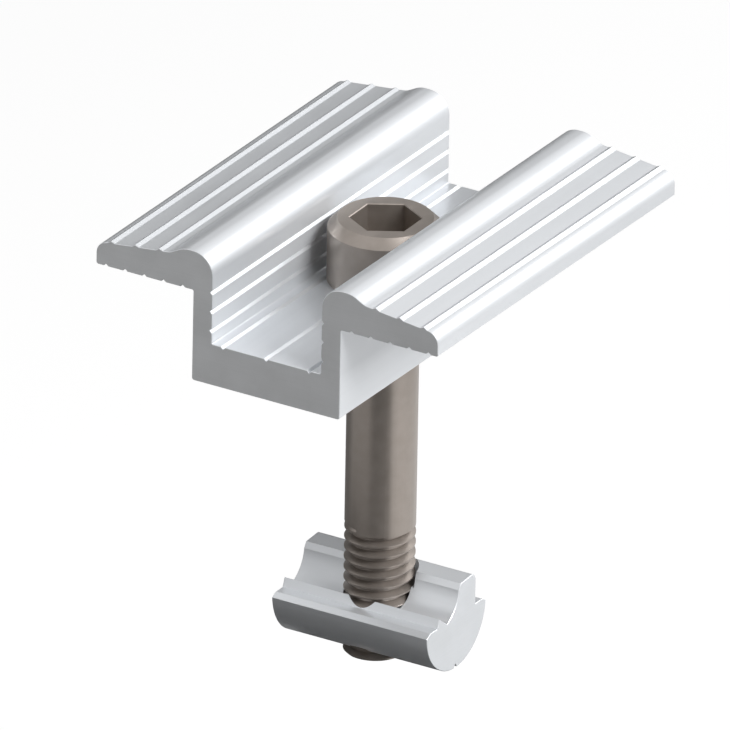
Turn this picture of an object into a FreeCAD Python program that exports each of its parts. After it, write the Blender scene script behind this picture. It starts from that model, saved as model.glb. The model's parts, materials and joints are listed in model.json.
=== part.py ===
import FreeCAD, Part

import math
import os

# A mid clamp that holds the frames of two neighbouring solar panels down on a rail.
# Three pieces: an extruded aluminium clamp, a socket head cap screw and a slide nut.
# The origin is on the screw's axis, in the plane of the clamp's two panel seats.
# +X runs across the wings, +Y along the extrusion and +Z up, away from the roof.
# All sizes are in millimetres.

# Extruded clamp
clamp_length = 50.5
clamp_width = 44.5
channel_width = 19.2
channel_depth = 11.0
channel_floor = 5.0
channel_wall = 2.5
channel_outer_radius = 0.3
inside_corner_radius = 0.2

# Wings, which rest on the panel frames
wing_root_height = 3.85
wing_slope_deg = 6.6
wing_tip_radius = 1.5
wing_foot_radius = 0.25

# Bead that rounds off the top of each channel wall
bead_height = 4.8
bead_radius = 2.6
bead_crest = 1.2
bead_shoulder_radius = 2.5
bead_run = 1.8
bead_foot_radius = 1.5

# Lines of the extrusion die
ridge_count = 3
ridge_inset = 1.4
ridge_edge_inset = 1.9
ridge_width = 0.95
ridge_height = 0.25
groove_width = 0.6
groove_depth = 0.25
seat_groove_inset = 1.4
seat_groove_pitch = 2.5
seat_groove_margin = 1.0
wall_groove_inset = 1.6
wall_groove_pitch = 2.35
floor_groove_inset = 1.5

# Socket head cap screw
shank_diameter = 8.0
screw_length = 45.4
head_diameter = 13.0
head_height = 7.5
head_chamfer = 1.1
head_fillet = 0.4
screw_tip_chamfer = 0.3
screw_tip_reach = 0.2
socket_across_flats = 7.0
socket_depth = 4.0
socket_turn_deg = 31.0
screw_hole_clearance = 0.5

# Slide nut, which turns into the rail's slot
nut_length = 20.2
nut_radius = 6.3
nut_edge_drop = 0.42
nut_shoulder_edge = 5.5
nut_neck_half_width = 4.05
nut_tower_height = 3.85
nut_tower_radius = 0.9
flute_radius = 3.88
flute_axis_y = -3.4
flute_axis_z = 3.4
flute_start_deg = -68.5
flute_end_deg = -6.0
tower_edge_run = 0.4
tower_edge_drop = 0.15
tooth_height = 1.05
tooth_lean = 0.4
notch_width = 0.7
notch_depth = 0.55
thread_clearance = 0.03
entry_clearance = 0.4
entry_depth = 1.9

# Heights that several pieces share
channel_bottom_z = -channel_depth
floor_top_z = channel_bottom_z + channel_floor
screw_tip_z = floor_top_z - screw_length
nut_shoulder_z = screw_tip_z + screw_tip_reach + nut_radius

V = FreeCAD.Vector


def rounded_outline(corners, place):
    """Closed wire through (u, v, radius) corners, each rounded by a tangent arc of its radius."""
    stops = []
    for i, (u, v, radius) in enumerate(corners):
        corner = V(u, v, 0)
        if radius == 0:
            stops.append((corner, None, corner))
            continue
        before = V(*corners[i - 1][:2], 0) - corner
        after = V(*corners[(i + 1) % len(corners)][:2], 0) - corner
        half_angle = before.getAngle(after) / 2
        before.normalize()
        after.normalize()
        reach = radius / math.tan(half_angle)
        inwards = (before + after).normalize()
        middle = corner + inwards * (radius / math.sin(half_angle) - radius)
        stops.append((corner + before * reach, middle, corner + after * reach))
    edges = []
    for i, (start, middle, end) in enumerate(stops):
        if middle is not None:
            edges.append(Part.Arc(place(start), place(middle), place(end)).toShape())
        following = stops[(i + 1) % len(stops)][0]
        if not end.isEqual(following, 1e-6):
            edges.append(Part.LineSegment(place(end), place(following)).toShape())
    return Part.Wire(edges)


def groove(u, v, along, inwards):
    """Three sharp corners of a V groove at (u, v), in the order of the direction along."""
    half = groove_width / 2
    return [
        (u - along[0] * half, v - along[1] * half, 0),
        (u + inwards[0] * groove_depth, v + inwards[1] * groove_depth, 0),
        (u + along[0] * half, v + along[1] * half, 0),
    ]


def half_clamp_section():
    """Right half of the clamp's section, from the middle of the channel floor round to its underside."""
    half_width = clamp_width / 2
    outer_wall = channel_width / 2
    inner_wall = outer_wall - channel_wall
    crest_end = inner_wall + bead_radius + bead_crest
    bead_foot = crest_end + bead_run
    slope = math.tan(math.radians(wing_slope_deg))

    def wing_top(x):
        return wing_root_height - (x - bead_foot) * slope

    corners = [(0, floor_top_z - groove_depth, 0), (groove_width / 2, floor_top_z, 0)]
    corners += groove(inner_wall - floor_groove_inset, floor_top_z, (1, 0), (0, -1))
    corners.append((inner_wall, floor_top_z, inside_corner_radius))
    z = floor_top_z + wall_groove_inset
    while z + groove_width < bead_height - bead_radius:
        corners += groove(inner_wall, z, (0, 1), (1, 0))
        z += wall_groove_pitch
    corners.append((inner_wall, bead_height, bead_radius))
    corners.append((crest_end, bead_height, bead_shoulder_radius))
    corners.append((bead_foot, wing_root_height, bead_foot_radius))

    first_ridge = bead_foot + ridge_inset
    last_ridge = half_width - ridge_edge_inset
    for i in range(ridge_count):
        x = first_ridge + (last_ridge - first_ridge) * i / (ridge_count - 1)
        left, right = x - ridge_width / 2, x + ridge_width / 2
        corners += [
            (left, wing_top(left), 0),
            (x, wing_top(x) + ridge_height, 0),
            (right, wing_top(right), 0),
        ]
    corners.append((half_width, wing_top(half_width), wing_tip_radius))
    corners.append((half_width, 0, wing_foot_radius))

    groove_xs = []
    x = outer_wall + seat_groove_inset
    while x < half_width - seat_groove_margin:
        groove_xs.append(x)
        x += seat_groove_pitch
    for x in reversed(groove_xs):
        corners += groove(x, 0, (-1, 0), (0, 1))
    corners.append((outer_wall, 0, inside_corner_radius))
    corners.append((outer_wall, channel_bottom_z, channel_outer_radius))
    return corners


def make_clamp():
    """The extrusion, cut to length and drilled for the screw."""
    right = half_clamp_section()
    left = [(-x, z, radius) for x, z, radius in reversed(right[1:])]

    def on_front_end(p):
        return V(p.x, -clamp_length / 2, p.y)

    section = Part.Face(rounded_outline(right + left, on_front_end))
    bar = section.extrude(V(0, clamp_length, 0))
    hole_radius = shank_diameter / 2 + screw_hole_clearance
    hole = Part.makeCylinder(hole_radius, channel_floor, V(0, 0, channel_bottom_z))
    return bar.cut(hole)


def make_screw():
    """The screw: a turned body with a hexagon socket. Its thread stands at the shank's size."""
    shank = shank_diameter / 2
    head = head_diameter / 2
    top = floor_top_z + head_height

    def in_xz_plane(p):
        return V(p.x, 0, p.y)

    half_section = [
        (0, screw_tip_z, 0),
        (shank - screw_tip_chamfer, screw_tip_z, 0),
        (shank, screw_tip_z + screw_tip_chamfer, 0),
        (shank, floor_top_z, head_fillet),
        (head, floor_top_z, 0),
        (head, top - head_chamfer, 0),
        (head - head_chamfer, top, 0),
        (0, top, 0),
    ]
    body = Part.Face(rounded_outline(half_section, in_xz_plane)).revolve(V(0, 0, 0), V(0, 0, 1), 360)

    corner_radius = socket_across_flats / math.sqrt(3)
    hexagon = [
        V(corner_radius * math.cos(turn), corner_radius * math.sin(turn), top - socket_depth)
        for turn in [math.radians(socket_turn_deg + 60 * i) for i in range(6)]
    ]
    socket = Part.Face(Part.makePolygon(hexagon + hexagon[:1])).extrude(V(0, 0, socket_depth))
    return body.cut(socket)


def make_nut():
    """The slide nut: an extrusion along X with a half-round back, a fluted tower and a drilled hole."""

    def on_left_end(y, z):
        return V(-nut_length / 2, y, nut_shoulder_z + z)

    def on_flute(degrees):
        turn = math.radians(degrees)
        return (
            flute_axis_y + flute_radius * math.cos(turn),
            flute_axis_z + flute_radius * math.sin(turn),
        )

    def line(*points):
        stops = [on_left_end(*p) for p in points]
        return [Part.LineSegment(a, b).toShape() for a, b in zip(stops, stops[1:])]

    def arc(start, middle, end):
        return [Part.Arc(on_left_end(*start), on_left_end(*middle), on_left_end(*end)).toShape()]

    valley = on_flute(flute_start_deg)
    flute_middle = on_flute((flute_start_deg + flute_end_deg) / 2)
    crest = on_flute(flute_end_deg)
    tower_front = (crest[0] + tower_edge_run, nut_tower_height - tower_edge_drop)
    tower_top = (nut_neck_half_width - nut_tower_radius, nut_tower_height)
    tower_back = (nut_neck_half_width, nut_tower_height - nut_tower_radius)
    bend = nut_tower_radius * (1 - math.sqrt(0.5))
    tower_bend = (nut_neck_half_width - bend, nut_tower_height - bend)
    edge_y = math.sqrt(nut_radius**2 - nut_edge_drop**2)
    half_notch = notch_width / 2
    notch_edge = -math.sqrt(nut_radius**2 - half_notch**2)
    lower_side = nut_radius * math.sqrt(0.5)

    outline = line(
        (-edge_y, -nut_edge_drop),
        (-nut_shoulder_edge, 0),
        (-nut_neck_half_width, 0),
        (-nut_neck_half_width + tooth_lean, tooth_height),
        valley,
    )
    outline += arc(valley, flute_middle, crest)
    outline += line(crest, tower_front, tower_top)
    outline += arc(tower_top, tower_bend, tower_back)
    outline += line(
        tower_back, (nut_neck_half_width, 0), (nut_shoulder_edge, 0), (edge_y, -nut_edge_drop)
    )
    outline += arc((edge_y, -nut_edge_drop), (lower_side, -lower_side), (half_notch, notch_edge))
    outline += line((half_notch, notch_edge), (0, notch_depth - nut_radius), (-half_notch, notch_edge))
    outline += arc((-half_notch, notch_edge), (-lower_side, -lower_side), (-edge_y, -nut_edge_drop))
    bar = Part.Face(Part.Wire(outline)).extrude(V(nut_length, 0, 0))

    # The tapped hole stands at the screw's size; in the tower it is opened out
    back_z = nut_shoulder_z - nut_radius
    tapped_radius = shank_diameter / 2 + thread_clearance
    entry_radius = shank_diameter / 2 + entry_clearance
    entry_z = nut_shoulder_z + nut_tower_height - entry_depth
    tapped = Part.makeCylinder(tapped_radius, entry_z - back_z, V(0, 0, back_z))
    entry = Part.makeCylinder(entry_radius, entry_depth, V(0, 0, entry_z))
    return bar.cut([tapped, entry])


os.makedirs("parts", exist_ok=True)
pieces = {
    "clamp_profile": make_clamp(),
    "clamp_screw": make_screw(),
    "slide_nut": make_nut(),
}
for name, solid in pieces.items():
    box = solid.BoundBox
    print(name, len(solid.Solids), solid.isValid(), round(solid.Volume, 1))
    print("  x", round(box.XMin, 3), round(box.XMax, 3), "y", round(box.YMin, 3), round(box.YMax, 3))
    print("  z", round(box.ZMin, 3), round(box.ZMax, 3))
    solid.exportStep("parts/" + name + ".step")
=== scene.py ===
# %% [markdown]
# # A mid clamp for solar panels
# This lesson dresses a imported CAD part. The clamp is a short length of aluminium extrusion that
# bridges the frames of two neighbouring panels. A socket head cap screw goes down through its floor
# into a slide nut, and the nut pulls up under the lips of a mounting rail.
#
# The CAD part comes first, because every size and place is taken from it. Its three pieces are then
# remade as meshes that can carry small edges, a real thread and the marks of how each was made.

# %% Load the frame
import json
import math

import bmesh
import bpy
from mathutils import Matrix, Quaternion, Vector

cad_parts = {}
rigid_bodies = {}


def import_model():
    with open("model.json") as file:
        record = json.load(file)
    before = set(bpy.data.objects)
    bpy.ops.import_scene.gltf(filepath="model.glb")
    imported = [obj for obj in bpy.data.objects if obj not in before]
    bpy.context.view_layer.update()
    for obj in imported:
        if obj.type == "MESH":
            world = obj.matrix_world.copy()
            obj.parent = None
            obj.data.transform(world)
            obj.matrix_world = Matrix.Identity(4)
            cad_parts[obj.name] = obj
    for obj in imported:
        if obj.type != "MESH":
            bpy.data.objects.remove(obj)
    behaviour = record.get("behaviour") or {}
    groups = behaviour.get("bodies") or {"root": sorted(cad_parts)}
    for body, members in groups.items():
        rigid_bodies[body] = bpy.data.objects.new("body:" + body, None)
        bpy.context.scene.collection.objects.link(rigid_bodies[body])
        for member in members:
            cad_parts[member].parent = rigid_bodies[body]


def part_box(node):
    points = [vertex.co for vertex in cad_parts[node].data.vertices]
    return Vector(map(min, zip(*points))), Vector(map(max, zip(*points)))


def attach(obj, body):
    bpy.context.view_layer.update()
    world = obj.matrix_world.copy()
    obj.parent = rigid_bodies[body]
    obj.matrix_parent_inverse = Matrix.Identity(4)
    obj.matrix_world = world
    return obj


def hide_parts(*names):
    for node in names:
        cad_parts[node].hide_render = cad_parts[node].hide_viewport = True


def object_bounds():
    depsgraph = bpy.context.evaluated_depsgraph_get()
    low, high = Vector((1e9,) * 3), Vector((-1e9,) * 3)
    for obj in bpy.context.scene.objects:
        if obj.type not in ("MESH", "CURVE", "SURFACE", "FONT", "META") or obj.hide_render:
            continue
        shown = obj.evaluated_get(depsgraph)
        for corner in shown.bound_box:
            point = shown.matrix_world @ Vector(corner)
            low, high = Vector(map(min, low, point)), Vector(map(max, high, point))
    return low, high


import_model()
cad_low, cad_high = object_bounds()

mm = 0.001
clamp_low, clamp_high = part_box("clamp_profile")
screw_low, screw_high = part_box("clamp_screw")
nut_low, nut_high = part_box("slide_nut")
print("clamp", [round(x / mm, 2) for x in (clamp_high - clamp_low)])
print("screw", [round(x / mm, 2) for x in (screw_high - screw_low)])
print("nut", [round(x / mm, 2) for x in (nut_high - nut_low)])

# %% [markdown]
# ## The camera
# The picture is a parallel projection: all edges along the extrusion are parallel, and far sizes
# equal near ones. A perspective camera far away would come close, but an orthographic camera is
# exact. It is placed by two angles, a slight roll, a scale in pixels per millimetre and the pixel
# at which the part's origin shows.

# %% Camera
picture_size = 730
pixels_per_mm = 9.0
camera_azimuth = math.radians(31.0)
camera_elevation = math.radians(25.2)
camera_roll = math.radians(1.03)
camera_distance = 0.4
origin_pixel = Vector((385.5, 229.5))

towards_camera = Vector((
    math.sin(camera_azimuth) * math.cos(camera_elevation),
    -math.cos(camera_azimuth) * math.cos(camera_elevation),
    math.sin(camera_elevation),
))
turn = (-towards_camera).to_track_quat("-Z", "Y") @ Quaternion((0, 0, 1), camera_roll)
camera_right = turn @ Vector((1, 0, 0))
camera_up = turn @ Vector((0, 1, 0))

camera = bpy.data.objects.new("camera", bpy.data.cameras.new("camera"))
bpy.context.scene.collection.objects.link(camera)
bpy.context.scene.camera = camera
camera.data.type = "ORTHO"
camera.data.ortho_scale = picture_size / pixels_per_mm * mm
camera.rotation_mode = "QUATERNION"
camera.rotation_quaternion = turn
origin_right = (origin_pixel.x - picture_size / 2) / pixels_per_mm * mm
origin_up = (picture_size / 2 - origin_pixel.y) / pixels_per_mm * mm
camera.location = (
    towards_camera * camera_distance - camera_right * origin_right - camera_up * origin_up
)
print("camera frame is", round(camera.data.ortho_scale / mm, 1), "mm wide")

# %% [markdown]
# ## From a bmesh to a piece
# Every piece below starts in a bmesh and ends as an object at the origin, with its place in its
# vertices. Smooth shading with sharp edges above a given angle suits machined metal: the arcs of
# an extrusion look round and its flats stay flat.

# %% Finish a mesh
smooth_below = math.radians(20)
merge_distance = 0.0005 * mm


def shade(mesh):
    """Smooth shading that stays sharp where faces turn."""
    mesh.shade_smooth()
    mesh.set_sharp_from_angle(angle=smooth_below)


def finish_mesh(name, bm):
    """Closes a bmesh into a new object, with its normals outwards."""
    bmesh.ops.remove_doubles(bm, verts=bm.verts, dist=merge_distance)
    bmesh.ops.recalc_face_normals(bm, faces=bm.faces)
    mesh = bpy.data.meshes.new(name)
    bm.to_mesh(mesh)
    bm.free()
    shade(mesh)
    piece = bpy.data.objects.new(name, mesh)
    bpy.context.scene.collection.objects.link(piece)
    return piece


print("edges that turn by less than", round(math.degrees(smooth_below)), "degrees stay smooth")

# %% [markdown]
# ## The clamp's section
# An extrusion has one section along its whole length, so the section is the whole model. On the
# real part the die gives it a bead over each wall, ridges on the sloped wings, grip grooves under
# them and lines inside the channel. The sharp corners of one half are written down from named
# sizes, the round ones are rounded with a vertex bevel, and a mirror makes the other half.

# %% Sizes of the channel and the wing
channel_half = 9.6 * mm
wall = 2.5 * mm
floor_top = clamp_low.z + 5.0 * mm
inner_wall = channel_half - wall
inside_radius = 0.2 * mm
heel_radius = 0.3 * mm

bead_top = clamp_high.z
bead_radius = 2.6 * mm
crest_end = inner_wall + bead_radius + 1.2 * mm
crest_radius = 2.5 * mm
bead_foot = crest_end + 1.8 * mm
foot_radius = 1.5 * mm

wing_half = clamp_high.x
wing_root = 3.85 * mm
wing_slope = math.tan(math.radians(6.6))
tip_radius = 1.5 * mm
underside_radius = 0.25 * mm
print("each wing reaches", round((wing_half - bead_foot) / mm, 2), "mm past its bead")

# %% [markdown]
# ## Ridges and die lines
# The fine relief is what makes an extrusion look extruded. Each ridge is three corners on the
# wing's top, and each die line is three corners that dip into the metal. The grip grooves under the
# wings are the same die line, five times over.

# %% Sizes of the ridges and the lines
ridge_count = 3
ridge_width = 0.95 * mm
ridge_height = 0.25 * mm
first_ridge = bead_foot + 1.4 * mm
last_ridge = wing_half - 1.9 * mm
ridge_pitch = (last_ridge - first_ridge) / (ridge_count - 1)

line_width = 0.6 * mm
line_depth = 0.25 * mm
floor_line = inner_wall - 1.5 * mm
wall_lines = [(1.6 + 2.35 * i) * mm for i in range(3)]
grip_lines = [(1.4 + 2.5 * i) * mm for i in range(5)]


def wing_top(x):
    """Height of the wing's sloped top."""
    return wing_root - (x - bead_foot) * wing_slope


def die_line(x, z, along, inwards):
    """The three corners of a die line, in the order of the direction along."""
    place = Vector((x, z))
    half = Vector(along) * line_width / 2
    valley = place + Vector(inwards) * line_depth
    return [(*(place - half), 0), (*valley, 0), (*(place + half), 0)]


print("ridges every", round(ridge_pitch / mm, 2), "mm")

# %% Corners of the right half
# Each corner is x, z and the radius that rounds it.
corners = [(0, floor_top - line_depth, 0), (line_width / 2, floor_top, 0)]
corners += die_line(floor_line, floor_top, (1, 0), (0, -1))
corners.append((inner_wall, floor_top, inside_radius))
for height in wall_lines:
    corners += die_line(inner_wall, floor_top + height, (0, 1), (1, 0))
corners.append((inner_wall, bead_top, bead_radius))
corners.append((crest_end, bead_top, crest_radius))
corners.append((bead_foot, wing_root, foot_radius))
for i in range(ridge_count):
    x = first_ridge + i * ridge_pitch
    corners.append((x - ridge_width / 2, wing_top(x - ridge_width / 2), 0))
    corners.append((x, wing_top(x) + ridge_height, 0))
    corners.append((x + ridge_width / 2, wing_top(x + ridge_width / 2), 0))
corners.append((wing_half, wing_top(wing_half), tip_radius))
corners.append((wing_half, 0, underside_radius))
for distance in reversed(grip_lines):
    corners += die_line(channel_half + distance, 0, (-1, 0), (0, 1))
corners.append((channel_half, 0, inside_radius))
corners.append((channel_half, clamp_low.z, heel_radius))
corners.append((0, clamp_low.z, 0))
print(len(corners), "corners, of which", sum(1 for c in corners if c[2]), "are round")

# %% Round and mirror
wide_arc_steps = 14
small_arc_steps = 6
nearly_zero = 1e-7


def round_corner(bm, vert, radius, steps):
    """Rounds one corner of a flat face with an arc of that radius, by a vertex bevel."""
    ends = [edge.other_vert(vert).co - vert.co for edge in vert.link_edges]
    half_angle = ends[0].angle(ends[1]) / 2
    bmesh.ops.bevel(
        bm, geom=[vert], offset=radius / math.tan(half_angle), segments=steps,
        profile=0.5, affect="VERTICES", material=-1,
    )


def on_middle(edge):
    """Whether an edge lies on the middle plane."""
    return all(abs(v.co.x) < nearly_zero for v in edge.verts)


bm = bmesh.new()
verts = [bm.verts.new((x, clamp_low.y, z)) for x, z, radius in corners]
bm.faces.new(verts)
for vert, (x, z, radius) in zip(verts, corners):
    if radius:
        round_corner(bm, vert, radius, wide_arc_steps if radius > mm else small_arc_steps)
half = bm.verts[:] + bm.edges[:] + bm.faces[:]
bmesh.ops.mirror(bm, geom=half, axis="X", merge_dist=nearly_zero)
bmesh.ops.recalc_face_normals(bm, faces=bm.faces)
seam = [edge for edge in bm.edges if on_middle(edge)]
bmesh.ops.dissolve_edges(bm, edges=seam, use_verts=False)
print(len(bm.faces), "face with", len(bm.verts), "corners in the section")

# %% [markdown]
# ## Sawn to length
# Pulling the section along its axis makes the bar. A real bar is sawn off and deburred, so the
# edges of both ends carry a tiny chamfer that catches the light. The nut is sawn from a bar too, so
# one function does both.

# %% Saw the clamp off
end_chamfer = 0.06 * mm
square_on = 0.9


def saw_bar(name, bm, axis, length):
    """Pulls a flat section along an axis into a bar and breaks the edges of its sawn ends."""
    grown = bmesh.ops.extrude_face_region(bm, geom=bm.faces[:])
    moved = [v for v in grown["geom"] if isinstance(v, bmesh.types.BMVert)]
    pull = Vector((0, 0, 0))
    pull[axis] = length
    bmesh.ops.translate(bm, verts=moved, vec=pull)
    bmesh.ops.recalc_face_normals(bm, faces=bm.faces)
    rim = [
        e for e in bm.edges
        if sum(1 for f in e.link_faces if abs(f.normal[axis]) > square_on) == 1
    ]
    bmesh.ops.bevel(
        bm, geom=rim, offset=end_chamfer, segments=1, profile=0.5, affect="EDGES", material=-1,
        clamp_overlap=True,
    )
    return finish_mesh(name, bm)


clamp = saw_bar("clamp_bar", bm, 1, clamp_high.y - clamp_low.y)
print("sawn bar:", len(clamp.data.polygons), "faces")

# %% [markdown]
# ## The screw's hole
# The hole is drilled through the middle of the channel's floor, right through the middle die line.
# A drill is a cutter, so a Boolean with a cylinder says what really happens better than cutting the
# faces by hand. Every cutter reaches a little past the metal, so that no face is left in the hole.

# %% Drill the clamp
hole_radius = 4.5 * mm
round_steps = 96
overshoot = 1 * mm


def cut_away(piece, cutter):
    """Cuts one closed object out of another for good, and removes the cutter."""
    cut = piece.modifiers.new("cut", "BOOLEAN")
    cut.operation = "DIFFERENCE"
    cut.solver = "EXACT"
    cut.object = cutter
    evaluated = piece.evaluated_get(bpy.context.evaluated_depsgraph_get())
    mesh = bpy.data.meshes.new_from_object(evaluated)
    piece.modifiers.clear()
    piece.data = mesh
    bpy.data.objects.remove(cutter)
    shade(mesh)


def rod(name, radius, low, high):
    """A round cutter between two heights on the screw's axis."""
    bm = bmesh.new()
    bmesh.ops.create_cone(
        bm, cap_ends=True, segments=round_steps, radius1=radius, radius2=radius,
        depth=high - low, matrix=Matrix.Translation((0, 0, (low + high) / 2)),
    )
    return finish_mesh(name, bm)


cut_away(clamp, rod("drill", hole_radius, clamp_low.z - overshoot, floor_top + overshoot))
print("clamp bar:", len(clamp.data.polygons), "faces")

# %% [markdown]
# ## The screw's body
# A cap screw is forged and turned, so half of its section spun round the axis makes it: shank, a
# small fillet under the head, the head and its wide chamfer. A cylinder joined to a cylinder would
# leave out the fillet and the chamfers, and those catch the light.

# %% Sizes of the screw
shank_radius = 4.0 * mm
tip_chamfer = 0.3 * mm
head_radius = screw_high.x
head_chamfer = 1.1 * mm
head_seat = floor_top
head_fillet = 0.4 * mm
head_lower_edge = 0.15 * mm
head_upper_edge = 0.08 * mm
screw_outline = [
    (0, screw_low.z, 0),
    (shank_radius - tip_chamfer, screw_low.z, 0),
    (shank_radius, screw_low.z + tip_chamfer, 0),
    (shank_radius, head_seat, head_fillet),
    (head_radius, head_seat, head_lower_edge),
    (head_radius, screw_high.z - head_chamfer, head_upper_edge),
    (head_radius - head_chamfer, screw_high.z, head_upper_edge),
    (0, screw_high.z, 0),
]
print("the head is", round((screw_high.z - head_seat) / mm, 2), "mm high")


# %% Spin the screw
def spin_outline(outline):
    """Turns the (radius, height, rounding) corners of half a section round the Z axis."""
    bm = bmesh.new()
    verts = [bm.verts.new((x, 0, z)) for x, z, radius in outline]
    bm.faces.new(verts)
    for vert, (x, z, radius) in zip(verts, outline):
        if radius:
            round_corner(bm, vert, radius, small_arc_steps)
    bmesh.ops.delete(bm, geom=bm.faces[:], context="FACES_ONLY")
    axis_edges = [edge for edge in bm.edges if on_middle(edge)]
    bmesh.ops.delete(bm, geom=axis_edges, context="EDGES")
    bmesh.ops.spin(
        bm, geom=bm.verts[:] + bm.edges[:], cent=(0, 0, 0), axis=(0, 0, 1),
        angle=math.tau, steps=round_steps, use_merge=True,
    )
    return bm


screw = finish_mesh("cap_screw", spin_outline(screw_outline))
print("screw body:", len(screw.data.polygons), "faces")

# %% [markdown]
# ## The hexagon socket
# A punch forms the socket: a six-sided hole with a shallow point at its bottom and a slight lead-in
# at its mouth. The cutter is that punch. It starts as a six-sided prism, its lower face is poked
# down to a point and its upper face grows outwards just below the head's top.

# %% Punch the socket
socket_flats = 7.0 * mm
socket_corner_radius = socket_flats / math.sqrt(3)
socket_depth = 4.0 * mm
socket_turn = math.radians(31.0)
socket_point = 0.9 * mm
lead_in = 0.1 * mm

prism_length = socket_depth - lead_in
bm = bmesh.new()
bmesh.ops.create_cone(
    bm, cap_ends=True, segments=6, radius1=socket_corner_radius, radius2=socket_corner_radius,
    depth=prism_length,
    matrix=Matrix.Translation((0, 0, screw_high.z - lead_in - prism_length / 2)),
)
corner = next(iter(bm.verts)).co
bmesh.ops.rotate(
    bm, verts=bm.verts, cent=(0, 0, 0),
    matrix=Matrix.Rotation(socket_turn - math.atan2(corner.y, corner.x), 3, "Z"),
)
bottom = min(bm.faces, key=lambda f: f.calc_center_median().z)
bmesh.ops.poke(bm, faces=[bottom], offset=socket_point)
for rise, growth in ((lead_in, 1 + lead_in / socket_corner_radius), (overshoot, 1)):
    top = max(bm.faces, key=lambda f: f.calc_center_median().z)
    grown = bmesh.ops.extrude_discrete_faces(bm, faces=[top])
    rim = list(grown["faces"][0].verts)
    bmesh.ops.translate(bm, verts=rim, vec=(0, 0, rise))
    bmesh.ops.scale(bm, verts=rim, vec=(growth, growth, 1))
cut_away(screw, finish_mesh("punch", bm))
print("socket cut:", len(screw.data.polygons), "faces")

# %% [markdown]
# ## The thread
# The real screw carries an M8 x 1.25 thread, and the nut is tapped to match. A bump map would not
# change the outline, so the thread is a real groove. Its cross-section, a trapezoid with 60 degree
# flanks, is spun up a helix: a spin with a lift at each step. At the top the groove runs out of
# the metal, as a die leaves it. The same groove with a little clearance makes the tap for the nut.

# %% A helical groove
pitch = 1.25 * mm
thread_depth = 0.6134 * pitch
crest_width = pitch / 8
flank = math.tan(math.radians(30))
groove_reach = 0.1 * mm
steps_per_turn = 60


def helical_groove(name, start_z, turns, clearance, run_out):
    """A closed, helical V cutter, which runs outwards over the last run_out turns."""
    root_radius = shank_radius - thread_depth + clearance
    outer_radius = shank_radius + groove_reach + clearance
    outer_half = (pitch - crest_width) / 2 + groove_reach * flank
    root_half = outer_half - (outer_radius - root_radius) * flank
    bm = bmesh.new()
    section = [
        bm.verts.new((root_radius, 0, start_z - root_half)),
        bm.verts.new((outer_radius, 0, start_z - outer_half)),
        bm.verts.new((outer_radius, 0, start_z + outer_half)),
        bm.verts.new((root_radius, 0, start_z + root_half)),
    ]
    face = bm.faces.new(section)
    bmesh.ops.spin(
        bm, geom=[face, *face.edges, *face.verts], cent=(0, 0, 0), axis=(0, 0, 1),
        dvec=(0, 0, pitch / steps_per_turn), angle=math.tau * turns,
        steps=round(turns * steps_per_turn),
    )
    end_z = start_z + turns * pitch
    for vert in bm.verts:
        past = (vert.co.z - (end_z - run_out * pitch)) / (run_out * pitch) if run_out else 0
        if past > 0:
            outwards = Vector((vert.co.x, vert.co.y, 0)).normalized()
            vert.co += outwards * (thread_depth + groove_reach) * min(past, 1)
    return finish_mesh(name, bm)


print("the groove is", round(thread_depth / mm, 2), "mm deep")

# %% Cut the thread
thread_length = 15.9 * mm
thread_run_out = 0.4
thread_start = screw_low.z - pitch
thread_turns = (thread_length + pitch) / pitch

cut_away(screw, helical_groove("die", thread_start, thread_turns, 0, thread_run_out))
print("threaded screw:", len(screw.data.polygons), "faces")

# %% [markdown]
# ## The slide nut's section
# The nut is cut from an extrusion too, this one seen from the side. It has a half-round back with a
# notch along it, two shoulders that bear under the rail's lips, and a tower with a toothed edge and
# a round flute. Straight lines join the corners, and each arc is one vertex spun about its centre,
# which needs no list of points.

# %% Sizes of the nut
nut_radius = 6.3 * mm
screw_tip_out = 0.2 * mm
shoulder_z = screw_low.z + screw_tip_out + nut_radius
nut_edge = (nut_high.y, -0.42 * mm)
shoulder_edge = 5.5 * mm
notch_half = 0.35 * mm
notch_depth = 0.55 * mm

neck_half = 4.05 * mm
tower_height = 3.85 * mm
tower_radius = 0.9 * mm
tooth = (0.4 * mm, 1.05 * mm)
rim_width = 0.4 * mm
rim_drop = 0.15 * mm

flute_radius = 3.88 * mm
flute_centre = (-3.4 * mm, 3.4 * mm)
flute_start = math.radians(-68.5)
flute_end = math.radians(-6.0)
print("the shoulders are at", round(shoulder_z / mm, 2), "mm")


# %% Lines and arcs of a section
def on_left_end(y, z):
    """A point of the section, with z measured from the shoulders."""
    return Vector((nut_low.x, y, shoulder_z + z))


def on_circle(centre, radius, angle):
    """A (y, z) point on a circle of the section."""
    return centre[0] + radius * math.cos(angle), centre[1] + radius * math.sin(angle)


def draw_line(bm, *points):
    """Straight edges through the points of the section."""
    verts = [bm.verts.new(on_left_end(*point)) for point in points]
    for a, b in zip(verts, verts[1:]):
        bm.edges.new((a, b))


def draw_arc(bm, centre, start, angle, steps):
    """An arc, spun from its first point about a centre of the section."""
    vert = bm.verts.new(on_left_end(*start))
    bmesh.ops.spin(
        bm, geom=[vert], cent=on_left_end(*centre), axis=(1, 0, 0), angle=angle, steps=steps,
    )


valley = on_circle(flute_centre, flute_radius, flute_start)
crest = on_circle(flute_centre, flute_radius, flute_end)
print("flute from", [round(x / mm, 2) for x in valley], "to", [round(x / mm, 2) for x in crest])

# %% Draw the nut's section
flute_steps = 24
bend_steps = 8
back_steps = 36
meeting_distance = 0.001 * mm

bend_centre = (neck_half - tower_radius, tower_height - tower_radius)
bend_top = (bend_centre[0], tower_height)
notch_angle = math.asin(notch_half / nut_radius)
notch_edge = -nut_radius * math.cos(notch_angle)
back_turn = math.pi / 2 - math.atan2(-nut_edge[1], nut_edge[0]) - notch_angle

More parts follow.
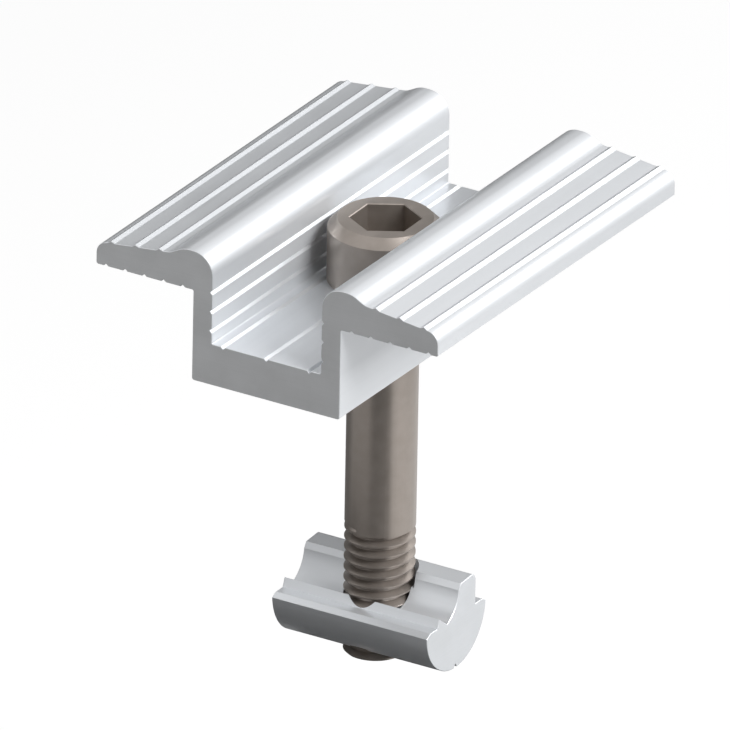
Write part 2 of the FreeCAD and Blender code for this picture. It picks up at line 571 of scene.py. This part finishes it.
bm = bmesh.new()
draw_line(
    bm, (-nut_edge[0], nut_edge[1]), (-shoulder_edge, 0), (-neck_half, 0),
    (-neck_half + tooth[0], tooth[1]), valley,
)
draw_arc(bm, flute_centre, valley, flute_end - flute_start, flute_steps)
draw_line(bm, crest, (crest[0] + rim_width, tower_height - rim_drop), bend_top)
draw_arc(bm, bend_centre, bend_top, -math.pi / 2, bend_steps)
draw_line(bm, (neck_half, bend_centre[1]), (neck_half, 0), (shoulder_edge, 0), nut_edge)
draw_arc(bm, (0, 0), nut_edge, -back_turn, back_steps)
draw_line(bm, (notch_half, notch_edge), (0, notch_depth - nut_radius), (-notch_half, notch_edge))
draw_arc(bm, (0, 0), (-notch_half, notch_edge), -back_turn, back_steps)
bmesh.ops.remove_doubles(bm, verts=bm.verts, dist=meeting_distance)
bmesh.ops.contextual_create(bm, geom=bm.edges[:])
print("nut section:", len(bm.faces), "face with", len(bm.verts), "corners")

# %% Saw the nut off
nut = saw_bar("rail_nut", bm, 0, nut_high.x - nut_low.x)
print("sawn nut:", len(nut.data.polygons), "faces")

# %% [markdown]
# ## Boring and tapping the nut
# The hole is made as a machinist makes it: a drill of the thread's inner size right through, wider
# drills down to the flute's valley and into the tower, then a tap. The tap is a rod with the
# screw's own groove cut into it, a little larger and in step with the screw, so the threads mesh at
# rest.

# %% Drill and tap
tap_clearance = 0.03 * mm
tap_radius = shank_radius + tap_clearance
tap_drill_radius = 3.4 * mm
tap_turns = 8
entry_radius = 4.4 * mm
entry_depth = 1.9 * mm
valley_z = shoulder_z + valley[1]
below_nut = nut_low.z - overshoot
above_nut = nut_high.z + overshoot

cut_away(nut, rod("tap_drill", tap_drill_radius, below_nut, above_nut))
cut_away(nut, rod("shank_drill", tap_radius, valley_z, above_nut))
cut_away(nut, rod("entry_drill", entry_radius, nut_high.z - entry_depth, above_nut))
tap = rod("tap", tap_radius, below_nut, valley_z + overshoot)
cut_away(tap, helical_groove("tap_groove", thread_start, tap_turns, tap_clearance, 0))
cut_away(nut, tap)
print("tapped nut:", len(nut.data.polygons), "faces")

# %% [markdown]
# ## Building blocks for the finishes
# Bare metal has no pattern of its own: what the eye reads is how it was made. A die leaves long
# streaks, a saw leaves short strokes, a lathe leaves rings. All three are noise that is drawn out
# in one direction. It comes from Object coordinates, so it stays on the metal when the piece moves,
# and it feeds the colour a little, the roughness more and a very shallow bump.


# %% Start a material and its noise
def new_material(name):
    """A material with a Principled shader, and its node tree."""
    material = bpy.data.materials.new(name)
    material.use_nodes = True
    return material, material.node_tree.nodes, material.node_tree.links


def object_place(nodes):
    """The place on the piece, in metres."""
    return nodes.new("ShaderNodeTexCoord").outputs["Object"]


def drawn_noise(nodes, links, coordinates, width, detail=3.0):
    """Noise whose grains measure width (x, y, z) metres."""
    stretch = nodes.new("ShaderNodeMapping")
    stretch.inputs["Scale"].default_value = [1 / w for w in width]
    noise = nodes.new("ShaderNodeTexNoise")
    noise.inputs["Scale"].default_value = 1.0
    noise.inputs["Detail"].default_value = detail
    links.new(coordinates, stretch.inputs["Vector"])
    links.new(stretch.outputs["Vector"], noise.inputs["Vector"])
    return noise.outputs["Fac"]


# %% Turn noise into colour, number and bump
# Noise stays near its middle, so both ranges are narrower than 0 to 1.
colour_range = (0.32, 0.68)
number_range = (0.3, 0.7)


def colour_between(nodes, links, value, dark, light):
    """Two shades of the metal, mixed by the noise."""
    ramp = nodes.new("ShaderNodeValToRGB")
    for element, position, shade_of_metal in zip(
        ramp.color_ramp.elements, colour_range, (dark, light),
    ):
        element.position = position
        element.color = (*shade_of_metal, 1)
    links.new(value, ramp.inputs["Fac"])
    return ramp.outputs["Color"]


def number_between(nodes, links, value, low, high):
    """A number that follows the noise from low to high."""
    spread = nodes.new("ShaderNodeMapRange")
    spread.inputs["From Min"].default_value = number_range[0]
    spread.inputs["From Max"].default_value = number_range[1]
    spread.inputs["To Min"].default_value = low
    spread.inputs["To Max"].default_value = high
    links.new(value, spread.inputs["Value"])
    return spread.outputs["Result"]


def shallow_bump(nodes, links, value, depth):
    """A bump as deep as a scratch."""
    bump = nodes.new("ShaderNodeBump")
    bump.inputs["Strength"].default_value = 1.0
    bump.inputs["Distance"].default_value = depth
    links.new(value, bump.inputs["Height"])
    return bump.outputs["Normal"]


# %% [markdown]
# ## A satin metal
# Aluminium carries a thin skin of oxide, and hardened steel a dark one. Such a skin scatters part
# of the light before the metal mirrors the rest, so neither is fully metallic in the shader.

# %% Dress a metal
aluminium_metallic = 0.5
steel_metallic = 0.7


def dress_metal(nodes, links, metallic, colour, roughness, normal):
    """Joins colour, roughness and bump to a Principled shader that is partly metallic."""
    shader = nodes["Principled BSDF"]
    shader.inputs["Metallic"].default_value = metallic
    links.new(colour, shader.inputs["Base Color"])
    links.new(roughness, shader.inputs["Roughness"])
    links.new(normal, shader.inputs["Normal"])


print("aluminium is metallic by", aluminium_metallic, "and steel by", steel_metallic)

# %% [markdown]
# ## Extruded aluminium
# The clamp's skin and the nut's are mill-finish aluminium: a cool light grey with faint streaks in
# the direction in which the metal left the die, and a satin that is never quite even. The clamp
# was extruded along Y and the nut along X, so the finish takes the direction as an argument.

# %% Aluminium skin
along_y = (0.22 * mm, 26 * mm, 0.22 * mm)
along_x = (26 * mm, 0.22 * mm, 0.22 * mm)
broader = 7
cloud_width = 6 * mm
skin_dark = (0.72, 0.74, 0.765)
skin_light = (0.75, 0.77, 0.795)
skin_roughness = (0.29, 0.36)
cloud_roughness = (0.0, 0.05)
streak_depth = 0.0016 * mm


def extruded_aluminium(name, grain):
    """Mill-finish aluminium with its streaks along one axis."""
    material, nodes, links = new_material(name)
    place = object_place(nodes)
    streaks = drawn_noise(nodes, links, place, grain)
    broad = drawn_noise(nodes, links, place, [w * broader for w in grain])
    cloudy = drawn_noise(nodes, links, place, [cloud_width] * 3)
    colour = colour_between(nodes, links, broad, skin_dark, skin_light)
    roughness = nodes.new("ShaderNodeMath")
    roughness.operation = "ADD"
    links.new(number_between(nodes, links, streaks, *skin_roughness), roughness.inputs[0])
    links.new(number_between(nodes, links, cloudy, *cloud_roughness), roughness.inputs[1])
    normal = shallow_bump(nodes, links, streaks, streak_depth)
    dress_metal(nodes, links, aluminium_metallic, colour, roughness.outputs["Value"], normal)
    return material


clamp_skin = extruded_aluminium("clamp_skin", along_y)
nut_skin = extruded_aluminium("nut_skin", along_x)
print("aluminium skins:", clamp_skin.name, nut_skin.name)

# %% [markdown]
# ## Sawn ends
# Where the bars were sawn off, the metal is rougher, with fine parallel strokes. It is the same
# noise, drawn out across the section instead of along the bar. The clamp's ends are looked at along
# Y and the nut's along X, so each gets its own strokes. The clamp's ends are painted a much darker
# grey than its skin, as painted shade; the nut's ends are a little darker than its skin.

# %% Sawn aluminium
clamp_strokes = (5 * mm, 0.5 * mm, 0.16 * mm)
nut_strokes = (0.5 * mm, 4 * mm, 0.14 * mm)
stroke_detail = 5.0
patch_width = 4 * mm
sawn_roughness = (0.42, 0.56)
stroke_depth = 0.003 * mm


def sawn_aluminium(name, strokes, dark, light):
    """A saw cut through aluminium."""
    material, nodes, links = new_material(name)
    place = object_place(nodes)
    cut = drawn_noise(nodes, links, place, strokes, stroke_detail)
    patches = drawn_noise(nodes, links, place, [patch_width] * 3)
    colour = colour_between(nodes, links, patches, dark, light)
    roughness = number_between(nodes, links, cut, *sawn_roughness)
    normal = shallow_bump(nodes, links, cut, stroke_depth)
    dress_metal(nodes, links, aluminium_metallic, colour, roughness, normal)
    return material


# The clamp's ends are painted much darker than its skin: painted shade on both ends.
clamp_ends_painted_shade = sawn_aluminium(
    "clamp_sawn_ends_painted_shade", clamp_strokes, (0.485, 0.493, 0.501), (0.525, 0.533, 0.543),
)
nut_ends = sawn_aluminium(
    "nut_sawn_ends", nut_strokes, (0.61, 0.628, 0.646), (0.646, 0.664, 0.686),
)
print("sawn finishes:", clamp_ends_painted_shade.name, nut_ends.name)


# %% Skin and sawn faces
def finish_faces(piece, skin, ends, axis):
    """Gives the faces that look along the axis the finish of sawn ends, and the rest the skin."""
    piece.data.materials.clear()
    piece.data.materials.append(skin)
    piece.data.materials.append(ends)
    for face in piece.data.polygons:
        face.material_index = int(abs(face.normal[axis]) > square_on)


# The clamp's end faces get the darker grey of painted shade.
finish_faces(clamp, clamp_skin, clamp_ends_painted_shade, 1)
finish_faces(nut, nut_skin, nut_ends, 0)
print("sawn faces:", sum(face.material_index for o in (clamp, nut) for face in o.data.polygons))

# %% [markdown]
# ## The screw's steel
# The screw is a warm, brownish grey beside the cool aluminium: hardened steel with a plain finish.
# It was turned, so its marks are rings round the axis. Noise on the distance from the axis and the
# height, and on nothing else, gives rings on the head and hoops on the shank with one texture.

# %% Rings round the axis
screw_steel, nodes, links = new_material("screw_steel")
place = object_place(nodes)
parts = nodes.new("ShaderNodeSeparateXYZ")
links.new(place, parts.inputs["Vector"])
flat_place = nodes.new("ShaderNodeCombineXYZ")
links.new(parts.outputs["X"], flat_place.inputs["X"])
links.new(parts.outputs["Y"], flat_place.inputs["Y"])
axis_distance = nodes.new("ShaderNodeVectorMath")
axis_distance.operation = "LENGTH"
links.new(flat_place.outputs["Vector"], axis_distance.inputs[0])
ring_place = nodes.new("ShaderNodeCombineXYZ")
links.new(axis_distance.outputs["Value"], ring_place.inputs["X"])
links.new(parts.outputs["Z"], ring_place.inputs["Z"])
print("ring coordinates:", len(nodes), "nodes")

# %% Turned steel
ring_width = (0.12 * mm, mm, 0.12 * mm)
ring_detail = 4.0
ring_depth = 0.0012 * mm
mottle_width = 1.6 * mm
mottle_detail = 5.0
steel_roughness = (0.32, 0.38)

rings = drawn_noise(nodes, links, ring_place.outputs["Vector"], ring_width, ring_detail)
mottle = drawn_noise(nodes, links, place, [mottle_width] * 3, mottle_detail)
colour = colour_between(nodes, links, mottle, (0.30, 0.265, 0.237), (0.332, 0.293, 0.264))
roughness = number_between(nodes, links, mottle, *steel_roughness)
normal = shallow_bump(nodes, links, rings, ring_depth)
dress_metal(nodes, links, steel_metallic, colour, roughness, normal)
screw.data.materials.clear()
screw.data.materials.append(screw_steel)
print("turned steel:", len(nodes), "nodes")

# %% [markdown]
# ## The floor
# The picture has a plain white background. The clamp hangs from its panel seats, so the floor is
# well below the nut. It shows white to the camera and to reflections, and a softer grey to all
# other light, so the background is white without more light on the metal.

# %% Floor
floor_drop = 60 * mm
floor_size = 2.0
floor_albedo = 0.3
floor_glow = 0.8
floor_roughness = 0.9
white = (1, 1, 1, 1)


def seen_directly(nodes, links):
    """1 for a ray from the camera, a reflection or a transmission, otherwise 0."""
    path = nodes.new("ShaderNodeLightPath")
    value = path.outputs["Is Camera Ray"]
    for kind in ("Is Glossy Ray", "Is Transmission Ray"):
        either = nodes.new("ShaderNodeMath")
        either.operation = "MAXIMUM"
        links.new(value, either.inputs[0])
        links.new(path.outputs[kind], either.inputs[1])
        value = either.outputs["Value"]
    return value


bm = bmesh.new()
bmesh.ops.create_grid(
    bm, x_segments=1, y_segments=1, size=floor_size,
    matrix=Matrix.Translation((0, 0, cad_low.z - floor_drop)),
)
floor = finish_mesh("studio_floor", bm)
floor_paper, nodes, links = new_material("floor_paper")
shader = nodes["Principled BSDF"]
shader.inputs["Base Color"].default_value = (floor_albedo, floor_albedo, floor_albedo, 1)
shader.inputs["Roughness"].default_value = floor_roughness
shader.inputs["Specular IOR Level"].default_value = 0.0
shader.inputs["Emission Color"].default_value = white
glow = nodes.new("ShaderNodeMath")
glow.operation = "MULTIPLY"
glow.inputs[1].default_value = floor_glow
links.new(seen_directly(nodes, links), glow.inputs[0])
links.new(glow.outputs["Value"], shader.inputs["Emission Strength"])
floor.data.materials.append(floor_paper)
print("floor at", round((cad_low.z - floor_drop) / mm, 1), "mm")

# %% [markdown]
# ## The world
# The world does the same above the floor: white at a strength of 1 where it is seen, and a weaker
# light on everything else, which fills the shadows.

# %% World
background_light = 0.24

world = bpy.data.worlds.new("studio")
bpy.context.scene.world = world
world.use_nodes = True
nodes, links = world.node_tree.nodes, world.node_tree.links
light = nodes["Background"]
light.inputs["Color"].default_value = white
light.inputs["Strength"].default_value = background_light
shown = nodes.new("ShaderNodeBackground")
shown.inputs["Color"].default_value = white
shown.inputs["Strength"].default_value = 1.0
choice = nodes.new("ShaderNodeMixShader")
links.new(seen_directly(nodes, links), choice.inputs["Fac"])
links.new(light.outputs["Background"], choice.inputs[1])
links.new(shown.outputs["Background"], choice.inputs[2])
links.new(choice.outputs["Shader"], nodes["World Output"].inputs["Surface"])
print("background light:", background_light)

# %% [markdown]
# ## Two soft lamps
# The larger lamp stands behind the clamp on the right. Its reflection whitens the beads' right
# flanks, as in the picture. The second one is in front on the right and lights what faces right:
# the outer wall, the nut's sawn end and the right side of the shank. Both are softboxes, so their
# shadows stay gentle.

# %% Lamps
# Each lamp is the direction it stands in, its side in metres and its power in watts.
lamp_distance = 0.55
lamps = {
    "lamp_back": (Vector((0.42, 0.76, 0.46)), 0.30, 0.55),
    "lamp_right": (Vector((0.80, -0.14, 0.58)), 0.26, 3.4),
}

for name, (direction, side, power) in lamps.items():
    lamp = bpy.data.lights.new(name, "AREA")
    lamp.shape = "SQUARE"
    lamp.size = side
    lamp.energy = power
    softbox = bpy.data.objects.new(name, lamp)
    bpy.context.scene.collection.objects.link(softbox)
    softbox.location = direction.normalized() * lamp_distance
    softbox.rotation_euler = direction.to_track_quat("Z", "Y").to_euler()
    print(name, "at", [round(x, 2) for x in softbox.location], "with", power, "W")

# %% [markdown]
# ## Painted reflections
# Bare metal shows what stands round it, and in an all-white room it turns flat and white. Grey
# cards that glow, and that only reflections see, paint darker reflections into it: painted shade in
# the metal's mirror images. Most lie under the object and stand up round it, the nut's card only
# lies there, and a disc closes the middle. Since only reflections see them, they give no light and
# cast no shadow.

# %% Sizes of the cards
# Each card is its start and end in degrees, its inner and outer radius, the height of its upper
# edge (None for a card that only lies there) and its grey.
card_floor_z = cad_low.z - 5 * mm
card_near = 12 * mm
card_middle = 55 * mm
card_outer = 112 * mm
card_far = 200 * mm
low_edge = 10 * mm
high_edge = 115 * mm
# Each grey is a painted reflection: a glowing sheet that only the metal's reflections show.
painted_reflection_cards = {
    "painted_reflection_front": (-94, -29, card_near, card_far, low_edge, 0.13),
    "painted_reflection_left": (-170, -94, card_middle, card_far, low_edge, 0.75),
    "painted_reflection_back": (100, 190, card_near, card_far, high_edge, 0.22),
    "painted_reflection_nut": (-170, -94, card_near, card_middle, None, 0.03),
    "painted_reflection_right": (25, 85, card_outer, card_far, low_edge, 0.62),
}
under_reflection_grey = 0.02
print(len(painted_reflection_cards), "cards and a disc, at", round(card_floor_z / mm, 1), "mm")


# %% Hide a card from all but reflections
def paint_reflection_card(card, name, grey):
    """Gives a card the grey of its painted reflection and shows it to reflections alone."""
    material, nodes, links = new_material(name)
    shader = nodes["Principled BSDF"]
    shader.inputs["Base Color"].default_value = (0, 0, 0, 1)
    shader.inputs["Specular IOR Level"].default_value = 0.0
    shader.inputs["Emission Color"].default_value = (grey, grey, grey, 1)
    shader.inputs["Emission Strength"].default_value = 1.0
    card.data.materials.append(material)
    card.visible_camera = False
    card.visible_diffuse = False
    card.visible_transmission = False
    card.visible_shadow = False


# %% [markdown]
# ## Bending the cards
# A card is bent round the object. One L-shaped line, turned to where the card starts and spun
# through part of a turn, makes each of them.

# %% Spin the cards
card_steps = 24
disc_steps = 48

for name, (start, end, inner, outer, top_z, grey) in painted_reflection_cards.items():
    bm = bmesh.new()
    line = [bm.verts.new((inner, 0, card_floor_z)), bm.verts.new((outer, 0, card_floor_z))]
    if top_z:
        line.append(bm.verts.new((outer, 0, top_z)))
    for a, b in zip(line, line[1:]):
        bm.edges.new((a, b))
    bmesh.ops.rotate(
        bm, verts=bm.verts, cent=(0, 0, 0), matrix=Matrix.Rotation(math.radians(start), 3, "Z"),
    )
    bmesh.ops.spin(
        bm, geom=bm.verts[:] + bm.edges[:], cent=(0, 0, 0), axis=(0, 0, 1),
        angle=math.radians(end - start), steps=card_steps,
    )
    paint_reflection_card(finish_mesh(name, bm), name, grey)
    print(name, start, "to", end, "degrees, grey", grey)

# The disc is a near-black painted reflection under the middle.
bm = bmesh.new()
bmesh.ops.create_circle(
    bm, cap_ends=True, segments=disc_steps, radius=card_near,
    matrix=Matrix.Translation((0, 0, card_floor_z)),
)
paint_reflection_card(finish_mesh("painted_reflection_under", bm), "painted_reflection_under", under_reflection_grey)

# %% [markdown]
# ## Joining the pieces to the frame
# Each new piece stands for one CAD node and rides on that node's body.
# The screw and the nut then turn and climb with the joints.

# %% Ride, replace, finish
for piece, body, node, slot in (
    (clamp, "clamp", "clamp_profile", "clamp_aluminium"),
    (screw, "screw", "clamp_screw", "screw_steel"),
    (nut, "nut", "slide_nut", "nut_aluminium"),
):
    even = piece.modifiers.new("even_shading", "WEIGHTED_NORMAL")
    even.keep_sharp = True
    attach(piece, body)
    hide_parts(node)
bpy.context.scene.view_settings.view_transform = "Standard"
